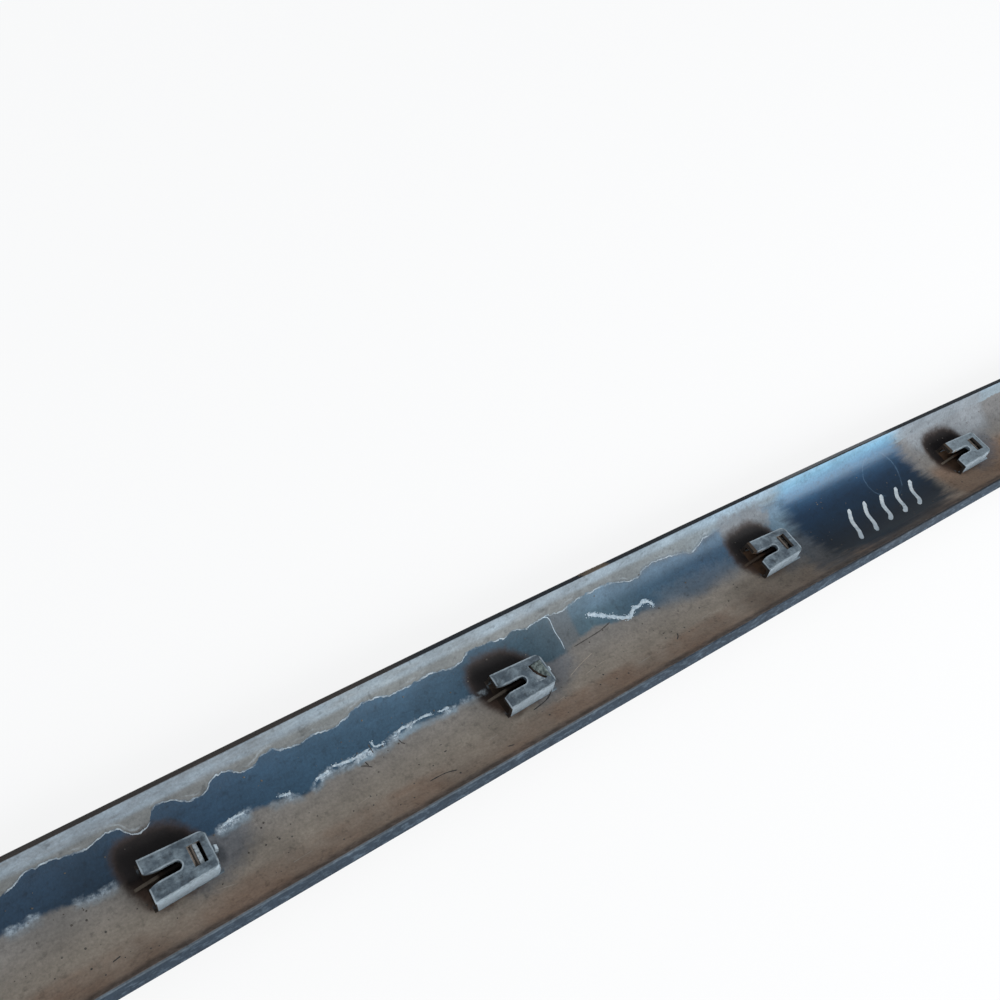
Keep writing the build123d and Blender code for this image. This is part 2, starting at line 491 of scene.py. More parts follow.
def tide_mask(tree, s):
    """The thin broken salt line and the fainter one above it."""
    broken = speckle(tree, s["place"], 7.0, 4.0, 0.38, 0.6)
    line = product(tree, span(tree, s["above"], -0.12, 0.12, 0.25), broken)
    patches = speckle(tree, s["place"], 11.0, 4.0, 0.5, 0.7)
    faint = product(tree, span(tree, s["above"], 1.3, 1.5, 0.4), patches)
    both = add(tree, "ShaderNodeMath", faint, 0.45, line, operation="MULTIPLY_ADD", use_clamp=True)
    return product(tree, both, span(tree, s["ragged_x"], -FAR, 126, 4.0))


def water_masks(tree, s):
    """The dust above the tide line, the washed band below it, and the salt at both its edges."""
    low_edge = add(tree, "ShaderNodeMath", s["frayed"], 0.35, s["over_low"], operation="MULTIPLY_ADD")
    gap = span(tree, s["ragged_x"], 29, 36, 3.0)
    sharp = product(tree, span(tree, low_edge, 0.8, FAR, 2.4), span(tree, s["above"], -FAR, 0, 0.5))
    soft = product(tree, span(tree, low_edge, 4.5, FAR, 9.0), span(tree, s["above"], -FAR, -2.5, 4.0))
    fading = {0: span(tree, s["x"], 95, FAR, 45.0), 2: sharp, 3: soft}
    band = add(tree, "ShaderNodeMix", named=fading)
    crust = 0.0
    for low, high, strength in CRUSTS:
        stretch = span(tree, s["ragged_x"], low, high, 3.0)
        crust = add(tree, "ShaderNodeMath", stretch, strength, crust, operation="MULTIPLY_ADD")
    coarse = speckle(tree, s["place"], 5.0, 6.0, 0.42, 0.6)
    flakes = product(tree, coarse, speckle(tree, s["place"], 0.9, 4.0, 0.2, 0.6))
    crust_edge = add(tree, "ShaderNodeMath", s["frayed"], 0.5, s["over_low"], operation="MULTIPLY_ADD")
    return {
        "dust": span(tree, s["above"], 0, FAR, 0.4),
        "wash": product(
            tree,
            band,
            add(tree, "ShaderNodeMath", gap, -0.55, 1.0, operation="MULTIPLY_ADD"),
            span(tree, s["ragged_x"], -FAR, 190, 8.0),
        ),
        "tide": tide_mask(tree, s),
        "crust": product(tree, span(tree, crust_edge, -0.3, 0.9, 1.4), crust, flakes),
        "haze": product(tree, span(tree, crust_edge, -1.0, 0.8, 3.0), crust),
    }


# %% [markdown]
# Near +X a hand wiped one stretch with a wet cloth, so its border is brushed along the strip, and
# something round that lay there later left a thin ring. Around it lie a dark smear, a light haze and
# two patches of dust. All are drawn as outlines through (x, q) corners.

# %% Masks of the wiped stretch
WIPED = [(182, -18), (196, -25), (262, -25), (279, -18), (284, -8), (277, 8), (273, 20), (262, 40),
         (173, 40), (176, 14)]
RING_CENTRE = (250, 10)
RING_RADIUS = 12.4
SMEAR = [(164, -21), (190, -24), (190, 12), (172, 14), (168, -6)]
HAZE = [(86, 0), (132, -2), (134, 8), (84, 9)]
BEIGE = [(136, 15), (166, 13), (168, 19), (162, 25), (134, 25)]
FAR_DUST = [(284, 12), (345, 8), (345, 34), (268, 34), (274, 22)]
print("ring", 2 * RING_RADIUS, "mm wide at x =", RING_CENTRE[0])


def patch_masks(tree, s):
    """The wiped stretch and the patches around it."""
    x, q = s["ragged_x"], s["ragged_q"]
    from_ring = add(tree, "ShaderNodeCombineXYZ", x, q)
    from_ring = add(tree, "ShaderNodeVectorMath", from_ring, (*RING_CENTRE, 0), operation="SUBTRACT")
    from_ring = add(tree, "ShaderNodeVectorMath", from_ring, operation="LENGTH", output="Value")
    patchy = speckle(tree, s["place"], 9.0, 3.0, 0.4, 0.6)
    return {
        "wiped": inside(tree, x, q, WIPED, 12.0, s["brushed"]),
        "ring": product(tree, span(tree, from_ring, RING_RADIUS, RING_RADIUS + 0.3, 0.4), patchy),
        "smear": inside(tree, x, q, SMEAR, 9.0, s["brushed"]),
        "light_haze": inside(tree, x, q, HAZE, 8.0, s["frayed"]),
        "beige": inside(tree, x, q, BEIGE, 5.0, s["frayed"]),
        "far_dust": inside(tree, x, q, FAR_DUST, 8.0, s["frayed"]),
    }


# %% [markdown]
# The clips have gone, but where each one sat the mud stayed wet for longest. The tower's shadow is painted
# into the same patch, nearly black around the slot's mouth, and a painted shade also lies around the slot's
# closed end. The towers themselves are covered with a film of pale dust, and brown mud has washed in under
# their plates, where it is painted darker as painted shade. These outlines are measured from each tower's
# slot, so one set serves the whole row.

# %% Masks of the towers
PLATE_HEIGHT = 10.0
TOWER_FOOT = 3.2
UNDER_PLATE = 8.0
WET_AND_SHADOW = [(-21, 2), (-13, -10.5), (6, -9), (11, 7), (9, 12), (1, 19), (-15, 19.5), (-20.5, 17)]
SHADE_AROUND_CLOSED_END = [(0, -13), (16, -12), (29, -3), (28, 8), (14, 14), (-8, 14)]
WINDOW = [(3.2, -4.1), (9.4, -4.1), (9.4, 5.0), (3.2, 5.0)]
TOWER = [(-14.4, -9.6), (12.4, -8.6), (14.4, -2), (14.4, 2), (12.4, 8.6), (-14.4, 9.6)]
HOLLOW = [(-13.6, -7.6), (10.4, -6.6), (10.4, 6.6), (-13.6, 7.6)]
GUSSET_SHADE = [(12.6, -5), (15, -5), (16.4, -1), (15.4, 2.4), (12.6, 4)]
print("plate top at", PLATE_HEIGHT, "mm, underside at", UNDER_PLATE, "mm")


def tower_masks(tree, s):
    """The wet mud and painted shadow around a tower, and the tower's own parts, some with painted light or
    shade.
    """
    u, q, z = s["u"], s["q"], s["z"]
    half_frayed = product(tree, s["frayed"], 0.5)
    body = product(tree, inside(tree, u, q, TOWER, 0.3), span(tree, z, TOWER_FOOT, FAR, 0.4))
    wall = product(tree, span(tree, z, 3.4, PLATE_HEIGHT - 0.3, 0.3), span(tree, q, -30, -6.9, 0.4))
    in_window = span(tree, z, TOWER_FOOT, PLATE_HEIGHT - 0.25, 0.1)
    behind = product(tree, span(tree, u, -FAR, -11.8, 0.4), span(tree, q, 2.4, FAR, 0.3))
    rib = product(tree, span(tree, u, -FAR, -9.5, 1.5), span(tree, q, 0.6, 2.0, 0.1))
    gusset = product(tree, span(tree, u, 12.5, 14.5, 0.2), span(tree, q, -1.2, 1.2, 0.2))
    mouth_end = span(tree, u, -FAR, -13.2, 0.15)
    return {
        # wet mud around the slot's mouth, which also carries the tower's painted shadow
        "wet_and_shadow": inside(tree, s["ragged_u"], s["ragged_q"], WET_AND_SHADOW, 5.5, half_frayed),
        # painted shade around the slot's closed end and past it
        "shade_around_closed_end": inside(tree, s["ragged_u"], s["ragged_q"], SHADE_AROUND_CLOSED_END, 9.0, s["frayed"]),
        "tower": body,
        # the near walls, painted pale: dust and painted light
        "painted_lit_wall": product(tree, body, wall),
        "window": product(tree, inside(tree, u, q, WINDOW, 0.2), in_window),
        # under the plate: mud colour darkened as painted shade
        "hollow": product(tree, inside(tree, u, q, HOLLOW, 0.3), span(tree, z, -FAR, UNDER_PLATE, 0.3)),
        "caked": product(tree, behind, span(tree, s["x"], 100, FAR, 1.0)),
        # the rib near the mouth, painted light brown as painted light on its top edge
        "rib": product(tree, rib, span(tree, z, 2.75, FAR, 0.1)),
        # the gusset's top, painted pale as painted light
        "gusset": product(tree, gusset, span(tree, z, 5.5, FAR, 1.0)),
        "gusset_shade": inside(tree, u, q, GUSSET_SHADE, 3.0, product(tree, s["frayed"], 0.3)),
        "mouth_end": product(tree, mouth_end, span(tree, z, TOWER_FOOT, 9.5, 0.2)),
    }


# %% [markdown]
# Sliding clips on and off has rubbed the plates' edges pale, and the same pale line is also a painted
# highlight where the edges catch the light, stronger on the near side. It follows the outline of the plate
# and of the slot, so it comes from the distance to the nearest of those edges.

# %% Worn and highlighted edges of the plates
SIDE_AT_SLOT = 8.15
SIDE_SLOPE = -0.048
CLOSED_END = 11.6
MOUTH_END = 13.5


def plate_wear_and_highlight(tree, s):
    """Light lines along the plates' edges: wear, and a painted highlight that is stronger on the near side.
    """
    across = add(tree, "ShaderNodeMath", s["q"], operation="ABSOLUTE")
    side = add(tree, "ShaderNodeMath", s["u"], SIDE_SLOPE, SIDE_AT_SLOT, operation="MULTIPLY_ADD")
    past = add(tree, "ShaderNodeMath", s["u"], SLOT_RADIUS, operation="ADD")
    past = add(tree, "ShaderNodeMath", past, 0.0, operation="MAXIMUM")
    from_slot = add(tree, "ShaderNodeCombineXYZ", past, across)
    from_slot = add(tree, "ShaderNodeVectorMath", from_slot, output="Value", operation="LENGTH")
    nearest = add(tree, "ShaderNodeMath", from_slot, SLOT_RADIUS, operation="SUBTRACT")
    for reach in (
        add(tree, "ShaderNodeMath", side, across, operation="SUBTRACT"),
        add(tree, "ShaderNodeMath", CLOSED_END, s["u"], operation="SUBTRACT"),
        add(tree, "ShaderNodeMath", s["u"], MOUTH_END, operation="ADD"),
    ):
        nearest = add(tree, "ShaderNodeMath", nearest, reach, operation="MINIMUM")
    rough = speckle(tree, s["place"], 2.5, 4.0, 0.2, 0.9)
    reach = add(tree, "ShaderNodeMath", rough, 0.9, nearest, operation="MULTIPLY_ADD")
    on_top = span(tree, s["z"], PLATE_HEIGHT - 0.4, FAR, 0.3)
    # stronger on the near side, where the painted highlight faces the lamp
    strong = add(tree, "ShaderNodeMapRange", s["q"], -4.5, -7.0, 0.7, 1.0)
    patchy = speckle(tree, s["place"], 6.0, 5.0, 0.26, 0.5)
    return product(tree, span(tree, reach, -FAR, 0.65, 0.5), on_top, strong, patchy)


# %% [markdown]
# The floor's colours change slowly along or across the strip. Brown mud is painted lighter across the near
# cove as painted light, and darkest just under the near rim as painted shade; the grey dust turns bluer
# towards +X, partly a painted reflection of the sky; and the wiped plastic runs from almost black to pale
# blue, a painted reflection of the sky that grows where the cove turns up to the light.

# %% Colours of the floor
# mud colour with painted light across the near cove and painted shade next to the near rim
MUD_LIGHT_AND_SHADE = [(-31, "#5c524b"), (-27.5, "#7d6d61"), (-23, "#978372"), (-17, "#a09182"), (-9, "#91877b"),
       (2, "#7f7a74"), (12, "#6b6a69")]
# dust; its pale blue end towards +X is partly a painted reflection of the sky
DUST_AND_REFLECTION = [(-220, "#6b7073"), (-150, "#73777a"), (-60, "#7f8587"), (30, "#81878a"), (110, "#7f8b92"),
        (145, "#8ea3b1")]
WASHED = [(-220, "#23384b"), (-180, "#1d3142"), (-140, "#274055"), (-90, "#304b5f"), (-50, "#354f62"),
          (-10, "#2c4353"), (12, "#2f4551"), (30, "#465761"), (46, "#485f6a"), (78, "#344e60"),
          (118, "#2e485e"), (150, "#324d62"), (172, "#586e7c"), (190, "#425a6b")]
# the wiped plastic's colour with a painted reflection of the sky, pale blue where the cove turns up
CLEAN_WITH_REFLECTION = [(-27, "#2c2a2b"), (-20, "#191b20"), (-10, "#0e1b28"), (0, "#0b2336"), (10, "#07263e"),
         (14, "#052d48"), (18, "#0d3e5c"), (22, "#2c6282"), (25, "#6b94ab"), (27, "#88a8ba")]
print("mud is", MUD_LIGHT_AND_SHADE[2][1], "under the rim and", MUD_LIGHT_AND_SHADE[-1][1], "at the washed band")


def floor_colour(tree, s, m):
    """The hollow's floor: mud, dust, washed band and wiped stretch, from the oldest to the newest, with
    painted light, shade, shadow and reflection among them.
    """
    x, q, place = s["x"], s["q"], s["place"]
    warm = product(tree, span(tree, q, -26, -16, 4.0), speckle(tree, place, 30.0, 4.0, 0.42, 0.68), 0.7)
    dark_mud = product(tree, span(tree, x, 132, 180, 22.0), span(tree, q, -FAR, -8, 6.0), 0.5)
    red_mud = product(tree, span(tree, x, 286, FAR, 10.0), span(tree, q, -FAR, -3, 8.0), 0.7)
    thin_dust = product(tree, m["dust"], span(tree, q, 0, 24.0, 2.5), 0.5)
    dust_patches = speckle(tree, s["stretched"], 4.0, 5.0, 0.3, 0.6)
    rim_dust = product(tree, m["dust"], span(tree, q, 26, FAR, 1.6), dust_patches, 0.5)
    # painted reflection of the sky along the washed band's upper edge
    painted_reflection_in_wash = product(tree, m["wash"], span(tree, q, 19, FAR, 6.0), span(tree, x, 60, 300, 40.0), 0.6)
    # painted shadow: nearly black above the plate and beside the mouth
    darkest_wet_and_shadow = product(tree, m["wet_and_shadow"], span(tree, q, 6, 30, 9.0), span(tree, s["u"], -19, FAR, 6.0))
    # painted shade in the corner inside the near crest
    near_side = product(tree, m["shade"], span(tree, q, -FAR, 0, 1.0))
    painted_crest_shade = product(tree, near_side, speckle(tree, place, 4.0, 6.0, 0.2, 0.6), 0.8)
    return stack(tree, shades(tree, q, MUD_LIGHT_AND_SHADE), [
        ("#866a57", warm),
        ("#5e5349", dark_mud),
        ("#80644f", red_mud),
        # painted shade around each tower's closed end
        ("#555b63", product(tree, m["shade_around_closed_end"], 0.7)),
        (shades(tree, x, DUST_AND_REFLECTION), m["dust"]),
        ("#68665f", thin_dust),
        ("#94a3ad", rim_dust),
        ("#7f909b", product(tree, m["haze"], 0.7)),
        (shades(tree, x, WASHED), m["wash"]),
        ("#61788a", painted_reflection_in_wash),
        ("#6c7073", product(tree, m["light_haze"], 0.35)),
        ("#3f4850", product(tree, m["smear"], 0.7)),
        ("#6e7377", m["beige"]),
        # wiped stretch, with its painted reflection
        (shades(tree, q, CLEAN_WITH_REFLECTION), m["wiped"]),
        ("#5b7890", product(tree, m["ring"], 0.35)),
        ("#7a7f83", product(tree, m["far_dust"], 0.85)),
        # wet mud with the tower's painted shadow, then the shadow's darkest part
        ("#4f3d33", m["wet_and_shadow"]),
        ("#1a1413", darkest_wet_and_shadow),
        ("#2a2f36", product(tree, m["gusset_shade"], 0.7)),
        ("#3f342d", painted_crest_shade),
        ("#adb7bd", product(tree, m["tide"], 0.85)),
        ("#b9c6cf", m["crust"]),
    ])


# %% [markdown]
# The plates' film of dust is blotchy. The near walls are painted pale: partly dust, and partly painted light
# where they face the window. Under the plates the brown mud is painted nearly black as painted shade, lighter
# towards the mouth, and the rims are dark plastic with a little mud and scuffing.


# %% Colours of the towers and the rims
def tower_colours(tree, s, m):
    """The dusty tower, and the space under its plate: brown mud painted nearly black as painted shade,
    lighter towards the mouth.
    """
    x, place = s["x"], s["place"]
    plate = stack(tree, linear("#475159"), [
        ("#758188", speckle(tree, place, 5.0, 5.0, 0.42, 0.66)),
        ("#7f8a90", product(tree, span(tree, x, 295, FAR, 5.0), 0.5)),
        ("#2f3336", product(tree, speckle(tree, place, 2.6, 5.0, 0.54, 0.68), 0.6)),
        # worn edges with a painted highlight
        ("#a8b3b9", product(tree, plate_wear_and_highlight(tree, s), 0.8)),
        # near walls: dust with painted light
        ("#9fadb6", m["painted_lit_wall"]),
        ("#33291f", m["caked"]),
        ("#3a322c", m["mouth_end"]),
    ])
    # brown mud under the plate, painted near-black as painted shade and lighter towards the open mouth
    hollow = stack(tree, linear("#1c1511"), [
        ("#372b22", span(tree, s["u"], -FAR, -9, 4.0)),
        ("#57402f", product(tree, span(tree, s["u"], -FAR, -8, 4.0), span(tree, x, 100, FAR, 10.0), 0.8)),
    ])
    return plate, hollow


def whole_colour(tree, s, m):
    """The floor, then the rims, the outer face and the towers over it."""
    x, q, ragged_x = s["x"], s["q"], s["ragged_x"]
    plate, hollow = tower_colours(tree, s, m)
    scuffs = speckle(tree, s["stretched"], 1.0, 6.0, 0.5, 0.7)
    # painted highlight along the near crest, towards -X only
    painted_crest_highlight = product(tree, m["crest"], span(tree, q, -FAR, 0, 1.0), span(tree, x, -FAR, 20, 50.0), 0.25)
    return stack(tree, floor_colour(tree, s, m), [
        ("#1b1e22", m["far_rim"]),
        ("#453a31", product(tree, m["far_rim"], span(tree, ragged_x, -FAR, -60, 30.0), 0.6)),
        ("#6b5c4b", product(tree, m["far_rim"], span(tree, ragged_x, 52, 64, 3.0), 0.7)),
        ("#2e3842", m["near_rim"]),
        ("#4d5963", product(tree, m["near_rim"], scuffs)),
        ("#8b9499", painted_crest_highlight),
        ("#191b1e", product(tree, m["crest"], span(tree, x, 200, FAR, 60.0), 0.9)),
        ("#14181d", m["outside"]),
        (plate, m["tower"]),
        ("#5f5750", m["window"]),
        # the fourth tower's window, painted near-black as painted shade in its crack
        ("#241a15", product(tree, m["window"], span(tree, x, -20, 20, 1.0))),
        # painted light on the gusset's top
        ("#9ca7ad", m["gusset"]),
        (hollow, m["hollow"]),
        # painted light on the rib near the mouth
        ("#6b6054", m["rib"]),
        ("#45362b", product(tree, m["rib"], span(tree, x, 120, 160, 1.0), 0.8)),
    ])


# %% [markdown]
# The real strip is injection-moulded polypropylene, dyed through. Its back is satin, so bare plastic
# gives the eye a soft sheen, and mud or dust on it gives none at all. The sheen is therefore kept for
# the wiped stretch and, weaker, for the washed band. Fine grain breaks up every colour, and a very low
# bump lets the dust feel dry. The finest grain of real dust can't be seen from here, so it is drawn at
# about one millimetre.


# %% Dusty moulded polypropylene
def mottled(tree, s, colour, grain, blotch):
    """The colour made lighter and darker by fine grain, blotches, streaks and dark specks."""
    streaks = speckle(tree, s["stretched"], 3.0, 5.0, 0.3, 0.7)
    specks = speckle(tree, s["place"], 3.2, 6.0, 0.56, 0.7)
    tones = []
    for mask, dark, light in ((grain, 0.8, 1.2), (blotch, 0.8, 1.2), (streaks, 0.9, 1.1), (specks, 1.0, 0.7)):
        tones.append(add(tree, "ShaderNodeMapRange", mask, 0, 1, dark, light))
    named = {0: 1.0, 6: colour, 7: product(tree, *tones)}
    return add(tree, "ShaderNodeMix", named=named, output=2, data_type="RGBA", blend_type="MULTIPLY")


def new_material(name):
    """An empty node material and its tree."""
    material = bpy.data.materials.new(name)
    material.use_nodes = True
    material.node_tree.nodes.clear()
    return material, material.node_tree


def dusty_polypropylene():
    """Satin blue-black plastic under dust, mud and tide lines."""
    material, tree = new_material("moulded_polypropylene")
    s = dirt_space(tree)
    m = {**rim_masks(tree, s), **water_masks(tree, s), **patch_masks(tree, s), **tower_masks(tree, s)}
    grain = speckle(tree, s["place"], 1.1, 5.0, 0.25, 0.75)
    blotch = speckle(tree, s["place"], 16.0, 6.0, 0.25, 0.75)
    colour = mottled(tree, s, whole_colour(tree, s, m), grain, blotch)

    sheen = product(tree, m["wiped"], 0.5)
    sheen = add(tree, "ShaderNodeMath", product(tree, m["wash"], 0.25), sheen, operation="MAXIMUM")
    matte = add(tree, "ShaderNodeMath", 0.85, sheen, operation="SUBTRACT")
    matte = add(tree, "ShaderNodeMath", grain, 0.08, matte, operation="MULTIPLY_ADD")
    relief = add(tree, "ShaderNodeMath", grain, 0.5, blotch, operation="MULTIPLY_ADD")
    relief = add(tree, "ShaderNodeMath", m["crust"], 2.0, relief, operation="MULTIPLY_ADD")
    relief = add(tree, "ShaderNodeMath", m["tide"], 1.5, relief, operation="MULTIPLY_ADD")
    flat = add(tree, "ShaderNodeMapRange", m["wiped"], 0, 1, 1.0, 0.25)
    bump = add(tree, "ShaderNodeBump", named={"Height": relief, "Distance": 0.15 * MM, "Strength": flat})
    named = {"Base Color": colour, "Roughness": matte, "IOR": 1.49, "Specular IOR Level": 0.3, "Normal": bump}
    add(tree, "ShaderNodeOutputMaterial", add(tree, "ShaderNodeBsdfPrincipled", named=named))
    return material


polypropylene = dusty_polypropylene()
shell.data.materials.append(polypropylene)
print("polypropylene", len(polypropylene.node_tree.nodes), "nodes")


# %% [markdown]
# What lies on the strip is dry: salt, mud, a film of pen paint, and the torn edges of the plastic.
# Each has an uneven colour and hardly any shine, and that is what the eye reads as dry. So each
# material is one colour with soft spots of a second one, at its own size in millimetres, and a faint
# bump. They differ in roughness: mud scatters all light, plastic less, and the pen's film least.


# %% Dry surfaces
def dry_surface(name, base, spots, size_mm, roughness):
    """A material of one colour with soft spots of another."""
    material, tree = new_material(name)
    cloud = speckle(tree, strip_space(tree, 1.0, 5.0)["place"], size_mm, 5.0, 0.35, 0.65)
    colour = stack(tree, linear(base), [(spots, cloud)])
    bump = add(tree, "ShaderNodeBump", named={"Height": cloud, "Distance": 0.1 * MM})
    named = {"Base Color": colour, "Roughness": roughness, "Normal": bump}
    add(tree, "ShaderNodeOutputMaterial", add(tree, "ShaderNodeBsdfPrincipled", named=named))
    return material


# road salt and lime left by dried water: powdery, and the brightest thing on the strip
salt = dry_surface("dried_salt", "#8fa4b3", "#c3ced4", 1.2, 0.85)
# bare plastic where grit cut through the mud: dark, so a scratch reads even when it is thin
scratched = dry_surface("scratched_polypropylene", "#2b2826", "#4a4440", 1.5, 0.7)
# mud rubbed thin: paler and more even than the mud around it
scraped_mud = dry_surface("scraped_mud", "#9a8e80", "#aaa093", 2.0, 0.9)
# a paint pen's film: smooth and nearly even in colour, with a slight gloss
pen_paint = dry_surface("paint_pen_film", "#b3bfc6", "#d5dbdd", 3.0, 0.5)
# dried mud: brown clods on the rim, and darker loose grains
caked_mud = dry_surface("caked_mud", "#57493c", "#857460", 3.0, 0.9)
loose_mud = dry_surface("dried_mud_grains", "#433e3a", "#645f58", 8.0, 0.9)
# polypropylene turns pale where it is rubbed or bent, so worn edges are light and the tear is dark
rubbed = dry_surface("rubbed_polypropylene", "#6b747a", "#a9b2b6", 1.5, 0.7)
scuffed = dry_surface("scuffed_polypropylene", "#566068", "#8b959a", 2.4, 0.7)
torn = dry_surface("torn_polypropylene", "#343d3b", "#747f7b", 1.4, 0.7)
# painted shade deep in the crack: a dark brown, nearly black sheet
crack_shade = dry_surface("shade_in_crack", "#261c16", "#46362a", 1.5, 0.9)
print("materials", len(bpy.data.materials))

# %% [markdown]
# Some pieces are repeated, strewn or laid on, and those are grown with Geometry Nodes. Each tree has
# named inputs. One function builds its two ends, and another runs it on a small starting mesh, takes
# the finished mesh out and lets it ride on the moulding.


# %% Helpers for Geometry Nodes
SOCKETS = {int: "NodeSocketInt", float: "NodeSocketFloat", bpy.types.Object: "NodeSocketObject"}


def nodes_tree(name, values):
    """A Geometry Nodes tree with a mesh in, a mesh out and an input for each value, and its end nodes."""
    tree = bpy.data.node_groups.new(name, "GeometryNodeTree")
    tree.interface.new_socket("Geometry", in_out="INPUT", socket_type="NodeSocketGeometry")
    tree.interface.new_socket("Geometry", in_out="OUTPUT", socket_type="NodeSocketGeometry")
    for key, value in values.items():
        tree.interface.new_socket(key, in_out="INPUT", socket_type=SOCKETS[type(value)])
    return tree, tree.nodes.new("NodeGroupInput"), tree.nodes.new("NodeGroupOutput")


def close_tree(tree, end, geometry, material):
    """Ends a tree: the instances are made real and get their material."""
    whole = add(tree, "GeometryNodeRealizeInstances", geometry)
    painted = add(tree, "GeometryNodeSetMaterial", whole, named={"Material": material})
    tree.links.new(painted, end.inputs[0])


def dropped(tree, start):
    """Where a straight drop from each point meets the surface."""
    ground = add(tree, "GeometryNodeObjectInfo", start.outputs["Surface"], output="Geometry")
    down = {"Ray Direction": (0, 0, -1), "Ray Length": 100 * MM}
    return add(tree, "GeometryNodeRaycast", ground, named=down, output="Hit Position")


def grown(name, source_mesh, tree, values):
    """Makes a piece by running a tree on a mesh, with the tree's inputs set."""
    source = placed(name + "_source", source_mesh)
    modifier = source.modifiers.new("nodes", "NODES")
    modifier.node_group = tree
    for item in tree.interface.items_tree:
        if item.in_out == "INPUT" and item.name in values:
            modifier[item.identifier] = values[item.name]
    bpy.context.view_layer.update()
    evaluated = source.evaluated_get(bpy.context.evaluated_depsgraph_get())
    data = bpy.data.meshes.new_from_object(evaluated)
    data.name = name
    source.modifiers.remove(modifier)
    bpy.data.objects.remove(source)
    riding(name, data)


# %% [markdown]
# A blade stands in each slot and guides the clip home. The CAD model has only its low foot, which
# keeps the clip's space open for the physics. The blade that the photograph shows is taller. Its
# outline is drawn once and extruded, then set down at every tower by a mesh line that follows the bow.

# %% Guide ribs
RIB_OUTLINE = [(-18.6, 2.3), (-14.4, 3.6), (-8.6, 5.2), (-3.9, 5.7), (0.5, 6.3), (3.04, 6.6), (3.04, 2.9),
               (-13.5, 2.9)]
RIB_MIDDLE = 1.3
RIB_THICK = 1.26


def prism(*outlines):
    """A closed bmesh between two outlines with equally many corners, in millimetres."""
    mesh = bmesh.new()
    ends = [[mesh.verts.new(Vector(place) * MM) for place in outline] for outline in outlines]
    for corners in ends:
        mesh.faces.new(corners)
    for i in range(len(ends[0])):
        mesh.faces.new([ends[0][i - 1], ends[0][i], ends[1][i], ends[1][i - 1]])
    bmesh.ops.recalc_face_normals(mesh, faces=mesh.faces)
    return mesh


rib_sides = (RIB_MIDDLE - RIB_THICK / 2, RIB_MIDDLE + RIB_THICK / 2)
rib = mesh_data("guide_rib", prism(*[[(u, v, z) for u, z in RIB_OUTLINE] for v in rib_sides]))

values = {"Count": len(TOWERS), "First": TOWERS[0] * MM, "Pitch": PITCH * MM}
tree, start, end = nodes_tree("rib_at_each_tower", values)
first = add(tree, "ShaderNodeCombineXYZ", start.outputs["First"])
pitch = add(tree, "ShaderNodeCombineXYZ", start.outputs["Pitch"])
row = add(tree, "GeometryNodeMeshLine", start.outputs["Count"], None, first, pitch, mode="OFFSET")
at = add(tree, "ShaderNodeSeparateXYZ", add(tree, "GeometryNodeInputPosition"))
aside = add(tree, "ShaderNodeCombineXYZ", 0.0, product(tree, at, at, -4 * BOW / (LENGTH * LENGTH * MM)))
bowed = add(tree, "GeometryNodeSetPosition", row, named={"Offset": aside})
ribs = add(tree, "GeometryNodeInstanceOnPoints", bowed, named={"Instance": start.outputs["Geometry"]})
close_tree(tree, end, ribs, polypropylene)
grown("guide_ribs", rib, tree, values)

# %% [markdown]
# Salt trails, scratches and pen marks are thin films that follow the hollow. Each starts as a line drawn
# through a few (x, q) points. The tree smooths it, sweeps a flat profile of uneven width along it, and drops
# every point onto the surface, with the middle raised by the film's thickness and the edges sunk. That way
# even the thinnest one is real geometry and casts its own small shadow.

# %% Strokes laid on the surface
STROKE_HOVER = 20.0
STROKE_STEP = 0.4
STROKE_COLUMNS = 9


def stroke_lines(name, strokes):
    """Plain lines through (x, q) points, hovering above the moulding."""
    lines = bpy.data.meshes.new(name + "_lines")
    places, edges = [], []
    for points in strokes:
        edges += [(len(places) + i, len(places) + i + 1) for i in range(len(points) - 1)]
        places += [on_strip(x, q, STROKE_HOVER) for x, q in points]
    lines.from_pydata(places, edges, [])
    return lines


def smooth_path(tree, start):
    """A smooth curve through the points of a tree's starting mesh."""
    path = add(tree, "GeometryNodeMeshToCurve", start.outputs["Geometry"])
    return add(tree, "GeometryNodeCurveSplineType", path, spline_type="CATMULL_ROM")


def stroke_radius(tree, start):
    """Half the stroke's width: uneven along its length and narrower at both ends."""
    ends = add(tree, "ShaderNodeMath", add(tree, "GeometryNodeSplineParameter"), 0.5, operation="PINGPONG")
    ends = add(tree, "ShaderNodeMapRange", ends, 0.0, 0.06, 0.35, 1.0)
    cloud = add(tree, "ShaderNodeTexNoise", None, None, 1 / (2.4 * MM), 4.0)
    swing = add(tree, "ShaderNodeMath", cloud, 0.5, operation="SUBTRACT")
    swing = add(tree, "ShaderNodeMath", swing, start.outputs["Ragged"], 1.0, operation="MULTIPLY_ADD")
    return product(tree, start.outputs["Width"], swing, ends, 0.5)


